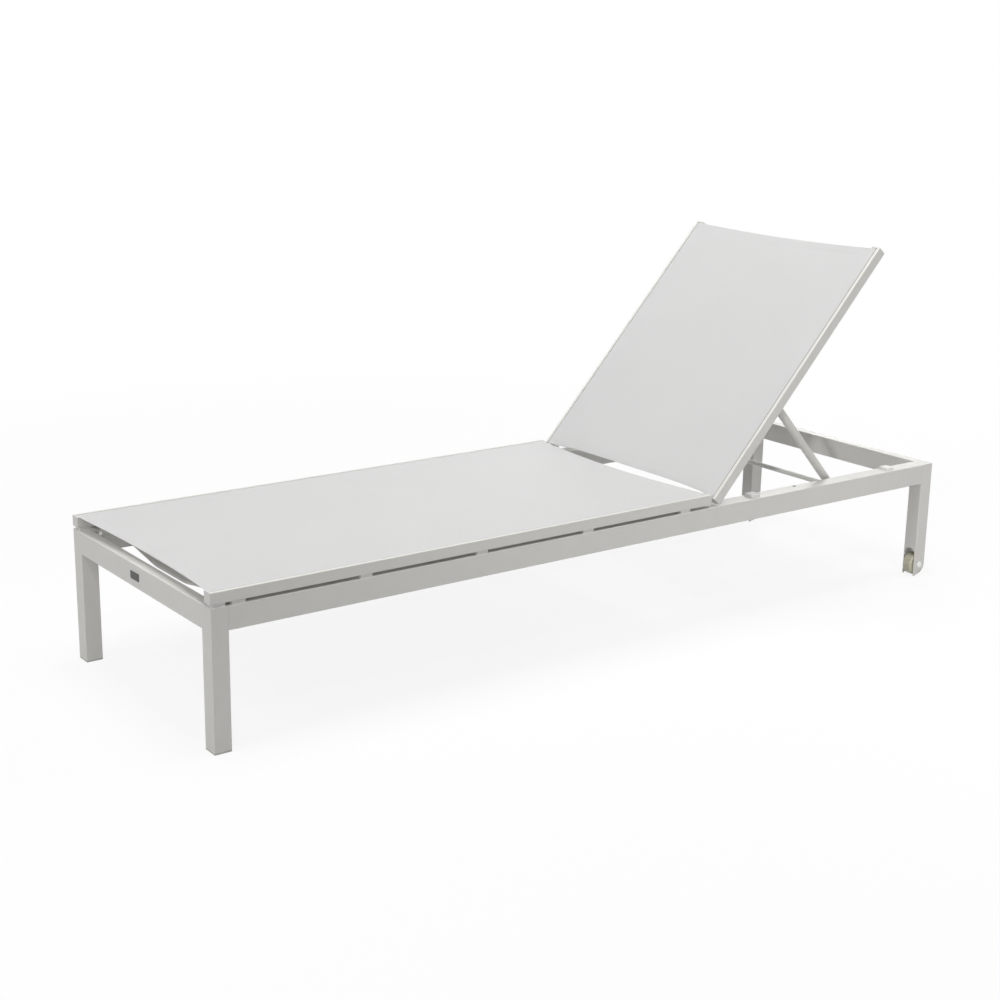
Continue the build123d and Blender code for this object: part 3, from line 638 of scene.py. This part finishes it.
def add_stitch(points, faces, sling, middle, distance, offset):
    """Adds one closed stitch, tapered at both ends, to points and faces."""
    first = len(points)
    for share, width in ring_shares:
        centre = sling.point(middle + share * stitch_length, distance, 0.0, offset)
        radius = thread_radius * width
        for side in range(stitch_sides):
            turn = 2 * math.pi * side / stitch_sides
            lengthwise = radius * math.cos(turn) * sling.deck.along
            points.append(centre + lengthwise + radius * math.sin(turn) * sling.deck.up)
    for ring in range(len(ring_shares) - 1):
        for side in range(stitch_sides):
            a = first + ring * stitch_sides + side
            b = first + ring * stitch_sides + (side + 1) % stitch_sides
            faces.append((a, b, b + stitch_sides, a + stitch_sides))
    faces.append(tuple(first + side for side in reversed(range(stitch_sides))))
    last = first + (len(ring_shares) - 1) * stitch_sides
    faces.append(tuple(last + side for side in range(stitch_sides)))


def stitch_rows(name, sling, body):
    """Two rows of lock stitches along both hems, above and below, half sunk in the cloth."""
    side_margin = 2 * MM
    hem_insets = (4 * MM, hem_width - 5 * MM)
    rows = [place for inset in hem_insets for place in (inset, sling.length - inset)]
    count = int(2 * (deck_inner - side_margin) / stitch_pitch)
    points, faces = [], []
    for offset in (cloth_thickness / 2 + stitch_rise, -hem_below - stitch_rise):
        for distance in rows:
            for index in range(count):
                middle = (index + 0.5) * stitch_pitch - count * stitch_pitch / 2
                add_stitch(points, faces, sling, middle, distance, offset)
    return add_piece(name, points, faces, thread, body)


def add_sling(deck_name, deck, body, reaches, dips, insets=(0.0, 0.0), powers=(2, 2)):
    """A sling's cloth and stitches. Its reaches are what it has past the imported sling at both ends."""
    node_name = f"{deck_name}_sling"
    start, end = deck.reach(node_name)
    sling = Sling(deck, start - reaches[0], end + reaches[1], dips, insets, powers)
    made = sling_mesh(f"{deck_name}_mesh", sling, body)
    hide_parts(node_name)
    stitches = stitch_rows(f"{deck_name}_stitches", sling, body)


add_sling(
    "seat", seat_deck, "base", reaches=(0.0, 3.4 * MM), dips=(14 * MM, 16 * MM), powers=(2, 1.6),
)
add_sling(
    "back", back_deck, "back", reaches=(9 * MM, 0.0), dips=(9 * MM, 6 * MM),
    insets=(1.1 * MM, 0.2 * MM), powers=(4, 2),
)


# Ground welds at the frame's flush joints

leg_low, leg_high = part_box("foot_leg_right")
rail_low, rail_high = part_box("side_rail_right")
base_foot = leg_low.x
base_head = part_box("head_leg_right")[1].x
leg_side = leg_high.x - leg_low.x
leg_corner = 1.5 * MM
end_seam = 0.15 * MM
side_seam = 0.5 * MM
weld_margin = 1.6 * MM


def weld_section(seam_depth):
    """Fill between a rail's end and a leg's rounded corner: (towards the rail, depth below the faces)."""
    arc_steps = 6
    first = math.acos(1 - seam_depth / leg_corner)
    turns = [first + (math.pi / 2 - first) * step / arc_steps for step in range(arc_steps + 1)]
    arc = [(leg_corner * (math.sin(turn) - 1), leg_corner * (1 - math.cos(turn))) for turn in turns]
    return arc + [(0.0, seam_depth)]


def weld_strip(points, faces, joint, towards_rail, outward, seam_depth):
    """Adds a closed upright strip at a joint, between the rails' edges, to points and faces."""
    steps = 12
    low = rail_low.z + weld_margin
    high = rail_high.z - weld_margin
    section = weld_section(seam_depth)
    count = len(section)
    first = len(points)
    for step in range(steps + 1):
        height = low + (high - low) * step / steps
        for along, depth in section:
            points.append(joint + along * towards_rail - depth * outward + Vector((0, 0, height)))
    for step in range(steps):
        for index in range(count):
            a = first + step * count + index
            b = first + step * count + (index + 1) % count
            faces.append((a, b, b + count, a + count))
    faces.append(tuple(first + index for index in reversed(range(count))))
    faces.append(tuple(first + steps * count + index for index in range(count)))


def add_welds():
    """At each leg, one strip where the side rail meets it and one where the end rail does."""
    points, faces = [], []
    for side in (-1, 1):
        across = Vector((0, side, 0))
        outer = side * half_width
        for end, lengthwise in ((base_foot, 1), (base_head, -1)):
            inward = Vector((lengthwise, 0, 0))
            side_joint = Vector((end + lengthwise * leg_side, outer, 0))
            weld_strip(points, faces, side_joint, inward, across, side_seam)
            end_joint = Vector((end, outer - side * leg_side, 0))
            weld_strip(points, faces, end_joint, -across, -inward, end_seam)
    add_piece("frame_welds", points, faces, frame_coat, "base", smooth_angle=25)


add_welds()


# Floor, background, light and camera

def seen_directly(tree, rays):
    """1 for the rays of the camera, of gloss and through glass, and 0 for the others."""
    seen = math_node(tree, "MAXIMUM", rays["Is Camera Ray"], rays["Is Glossy Ray"])
    return math_node(tree, "MAXIMUM", seen, rays["Is Transmission Ray"])


def floor_shadow_fade(tree):
    """Share of plain white in the floor, from the lounger's shadow out to the background."""
    away = node(tree.nodes, "ShaderNodeVectorMath", operation="LENGTH")
    tree.links.new(place_of(tree), away.inputs[0])
    fade = node(tree.nodes, "ShaderNodeMapRange", interpolation_type="SMOOTHSTEP")
    fade.inputs["From Min"].default_value = 0.8
    fade.inputs["From Max"].default_value = 3.5
    fade.inputs["To Min"].default_value = 0.86
    fade.inputs["To Max"].default_value = 1.0
    tree.links.new(away.outputs["Value"], fade.inputs["Value"])
    return fade.outputs[0]


def floor_finish():
    """White to the camera apart from a faint shadow, and mid grey to the light that bounces off it."""
    made, nodes, links, shader = material("pale_floor")
    tree = made.node_tree
    rays = nodes.new("ShaderNodeLightPath").outputs
    grain_out = use_group(tree, GRAIN, Place=place_of(tree), Grain_Size=2.0, Patch_Size=900.0)
    paint = node(nodes, "ShaderNodeMix", data_type="RGBA")
    paint.inputs["A"].default_value = (0.38, 0.38, 0.38, 1)
    paint.inputs["B"].default_value = (0.84, 0.84, 0.84, 1)
    links.new(rays["Is Camera Ray"], paint.inputs["Factor"])
    toned = use_group(tree, TONE, Colour=paint.outputs["Result"], Mask=grain_out["Patches"], Amount=0.01)
    links.new(toned["Colour"], shader.inputs["Base Color"])
    shader.inputs["Roughness"].default_value = 0.9
    shader.inputs["Specular IOR Level"].default_value = 0.1
    shader.inputs["Emission Color"].default_value = (1.0, 1.0, 1.0, 1)
    shader.inputs["Emission Strength"].default_value = 0.08
    white = node(nodes, "ShaderNodeEmission")
    white.inputs["Strength"].default_value = 1.0
    share = math_node(tree, "MULTIPLY", seen_directly(tree, rays), floor_shadow_fade(tree))
    mix = nodes.new("ShaderNodeMixShader")
    links.new(share, mix.inputs["Fac"])
    links.new(shader.outputs[0], mix.inputs[1])
    links.new(white.outputs[0], mix.inputs[2])
    links.new(mix.outputs[0], nodes["Material Output"].inputs["Surface"])
    return made


def add_floor():
    """A wide floor, a hair below the feet."""
    half = 40.0
    drop = 0.2 * MM
    mesh = bpy.data.meshes.new("floor")
    corners = [(-half, -half, 0), (half, -half, 0), (half, half, 0), (-half, half, 0)]
    mesh.from_pydata(corners, [], [(0, 1, 2, 3)])
    mesh.materials.append(floor_finish())
    floor = bpy.data.objects.new("floor", mesh)
    floor.location.z = -drop
    bpy.context.scene.collection.objects.link(floor)
    floor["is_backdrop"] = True


def add_world():
    """A dim even light, and plain white to the camera."""
    world = bpy.data.worlds.new("studio")
    bpy.context.scene.world = world
    world.use_nodes = True
    tree = world.node_tree
    tree.nodes.clear()
    ambient = node(tree.nodes, "ShaderNodeBackground")
    ambient.inputs["Color"].default_value = (1.0, 1.0, 1.0, 1)
    ambient.inputs["Strength"].default_value = 0.12
    white = node(tree.nodes, "ShaderNodeBackground")
    white.inputs["Color"].default_value = (1.0, 1.0, 1.0, 1)
    white.inputs["Strength"].default_value = 1.0
    rays = tree.nodes.new("ShaderNodeLightPath").outputs
    mix = tree.nodes.new("ShaderNodeMixShader")
    output = tree.nodes.new("ShaderNodeOutputWorld")
    tree.links.new(seen_directly(tree, rays), mix.inputs["Fac"])
    tree.links.new(ambient.outputs[0], mix.inputs[1])
    tree.links.new(white.outputs[0], mix.inputs[2])
    tree.links.new(mix.outputs[0], output.inputs["Surface"])


def add_softbox(name, place, target, size, power):
    """A square lamp at a place that looks at a target."""
    lamp = bpy.data.lights.new(name, "AREA")
    lamp.shape = "SQUARE"
    lamp.size = size
    lamp.energy = power
    holder = bpy.data.objects.new(name, lamp)
    bpy.context.scene.collection.objects.link(holder)
    holder.location = place
    holder.rotation_euler = (Vector(target) - Vector(place)).to_track_quat("-Z", "Y").to_euler()


def add_distant(name, source, strength):
    """A distant, slightly soft lamp in a direction."""
    lamp = bpy.data.lights.new(name, "SUN")
    lamp.energy = strength
    lamp.angle = math.radians(2.5)
    holder = bpy.data.objects.new(name, lamp)
    bpy.context.scene.collection.objects.link(holder)
    holder.rotation_euler = Vector(source).to_track_quat("Z", "Y").to_euler()


def add_camera():
    """The photograph's camera, from its fitted place, turn, pitch, roll and focal length."""
    place = Vector((-2.41975, -3.0928, 1.3684))
    yaw, pitch, roll = math.radians(36.651), math.radians(15.520), math.radians(0.976)
    forward = Vector((math.sin(yaw) * math.cos(pitch), math.cos(yaw) * math.cos(pitch), -math.sin(pitch)))
    level = forward.cross(Vector((0, 0, 1))).normalized()
    above = level.cross(forward)
    right = math.cos(roll) * level + math.sin(roll) * above
    up = math.cos(roll) * above - math.sin(roll) * level
    camera = bpy.data.cameras.new("camera")
    camera.sensor_width = 36.0
    camera.lens = 62.02
    camera.clip_end = 100.0
    holder = bpy.data.objects.new("camera", camera)
    holder.matrix_world = Matrix.Translation(place) @ Matrix((right, up, -forward)).transposed().to_4x4()
    bpy.context.scene.collection.objects.link(holder)
    bpy.context.scene.camera = holder


add_floor()
add_world()
add_distant("low_light", source=(-0.80, -0.545, 0.25), strength=0.52)
add_distant("high_light", source=(-0.354, -0.555, 0.753), strength=0.34)
add_softbox("top_softbox", (-0.2, 0.0, 4.2), target=(-0.2, 0.0, 0.0), size=2.4, power=112.0)
add_softbox("foot_softbox", (-3.4, -0.4, 2.6), target=(-0.8, 0.0, 0.2), size=1.5, power=30.0)
add_softbox("side_softbox", (0.75, -2.05, 0.22), target=(0.6, -0.3, 0.26), size=0.4, power=6.0)
add_softbox("head_softbox", (2.4, -0.8, 2.6), target=(0.8, 0.0, 0.2), size=1.0, power=16.0)
add_softbox("far_softbox", (2.6, 1.8, 1.6), target=(0.9, 0.0, 0.3), size=1.0, power=13.0)
add_camera()
bpy.context.scene.view_settings.view_transform = "Standard"

boxes = {"cad": cad_box, "visual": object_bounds()}
{key: [list(corner) for corner in box] for key, box in boxes.items()}
